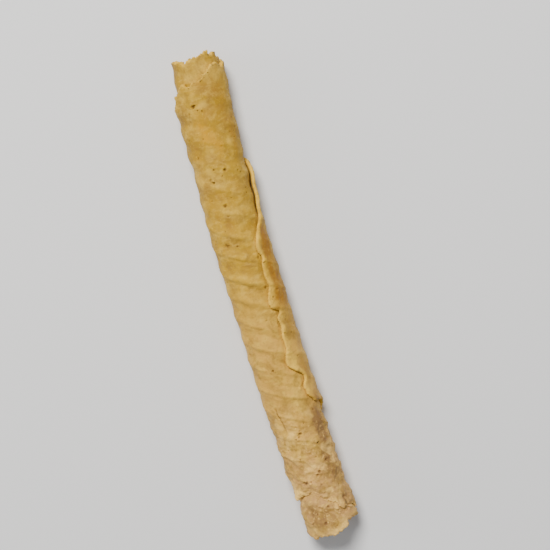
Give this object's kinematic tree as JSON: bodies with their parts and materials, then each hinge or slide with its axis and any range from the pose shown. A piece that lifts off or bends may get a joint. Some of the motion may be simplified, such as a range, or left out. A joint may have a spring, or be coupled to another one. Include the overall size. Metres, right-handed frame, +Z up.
{
  "type": "wafer roll",
  "caption": "Thin baked wafer rolled into a long hollow tube, slightly bowed, with a ragged lapped seam along its top and ragged, stepped ends.",
  "frame": {"origin": "middle of the underside: the centre of the bounding box in X and Y, on the pressed strip that the roll lies on", "axes": "+X along the roll towards its tighter end, away from the end where the inner layer stands out furthest; -Y towards the shoulder that the seam runs along; +Z up, to the side where the seam shows"},
  "size_m": [0.131, 0.0172, 0.0147],
  "materials": {
    "wafer": "matte"
  },
  "bodies": {
    "root": {"wafer": "wafer"}
  },
  "joints": []
}
